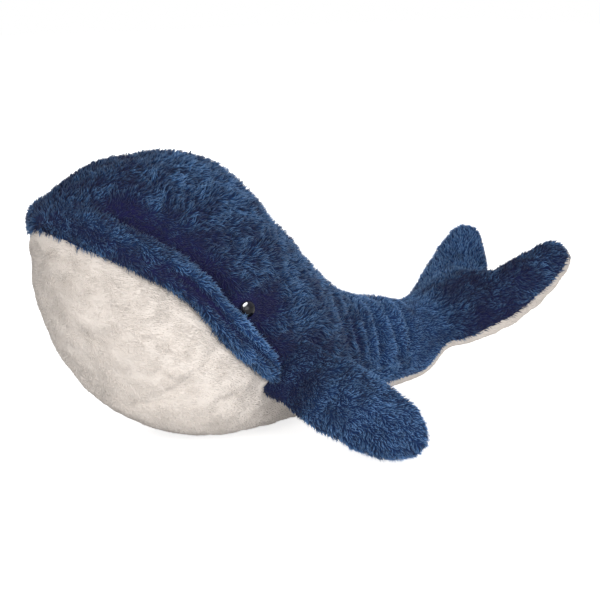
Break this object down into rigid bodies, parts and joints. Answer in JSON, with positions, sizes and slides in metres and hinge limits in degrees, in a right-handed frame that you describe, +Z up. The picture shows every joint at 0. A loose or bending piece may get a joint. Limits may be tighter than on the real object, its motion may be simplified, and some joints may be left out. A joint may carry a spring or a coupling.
{
  "type": "plush whale",
  "caption": "Stuffed toy whale with blue plush back, cream throat and belly, padded lip roll, bead eyes, drooping fins and upturned flukes.",
  "frame": {"origin": "on the flat under the belly, on which the whale rests", "axes": "+X from nose to tail, +Y to the whale's right, +Z up"},
  "size_m": [0.5529, 0.4214, 0.2503],
  "materials": {
    "blue_plush": "long-pile plush, deep blue",
    "cream_plush": "long-pile plush, cream",
    "fibre_filling": "loose polyester fibre, white",
    "eye_plastic": "polished, black",
    "washer_plastic": "natural polypropylene, satin"
  },
  "bodies": {
    "torso": {"back_panel_left": "blue_plush", "back_panel_right": "blue_plush", "belly_panel": "cream_plush", "body_filling": "fibre_filling", "lip_panel": "blue_plush", "lip_filling": "fibre_filling", "eye_left": "eye_plastic", "eye_right": "eye_plastic", "eye_washer_left": "washer_plastic", "eye_washer_right": "washer_plastic"},
    "tail_stock": {"tail_panel_left": "blue_plush", "tail_panel_right": "blue_plush", "tail_belly_panel": "cream_plush", "tail_filling": "fibre_filling"},
    "flukes": {"fluke_upper_panel": "blue_plush", "fluke_lower_panel": "cream_plush", "fluke_filling": "fibre_filling"},
    "fin_left": {"fin_left_upper_panel": "blue_plush", "fin_left_lower_panel": "blue_plush", "fin_left_filling": "fibre_filling"},
    "fin_right": {"fin_right_upper_panel": "blue_plush", "fin_right_lower_panel": "blue_plush", "fin_right_filling": "fibre_filling"}
  },
  "joints": [
    {"name": "tail_wag", "type": "hinge", "parent": "torso", "child": "tail_stock", "pos_m": [0.12997, 0, 0.055], "axis": [0, 0, 1], "range_deg": [-20, 20], "stiffness_Nm_per_rad": 1},
    {"name": "fluke_lift", "type": "hinge", "parent": "tail_stock", "child": "flukes", "pos_m": [0.19885, 0, 0.06], "axis": [0, -1, 0], "range_deg": [-25, 30], "stiffness_Nm_per_rad": 0.6},
    {"name": "fin_left_flap", "type": "hinge", "parent": "torso", "child": "fin_left", "pos_m": [-0.00599, -0.1, 0.06068], "axis": [-0.7551, -0.0116, -0.6555], "range_deg": [-20, 60], "stiffness_Nm_per_rad": 0.2},
    {"name": "fin_right_flap", "type": "hinge", "parent": "torso", "child": "fin_right", "pos_m": [-0.00599, 0.1, 0.06068], "axis": [0.7551, -0.0116, 0.6555], "range_deg": [-20, 60], "stiffness_Nm_per_rad": 0.2}
  ]
}
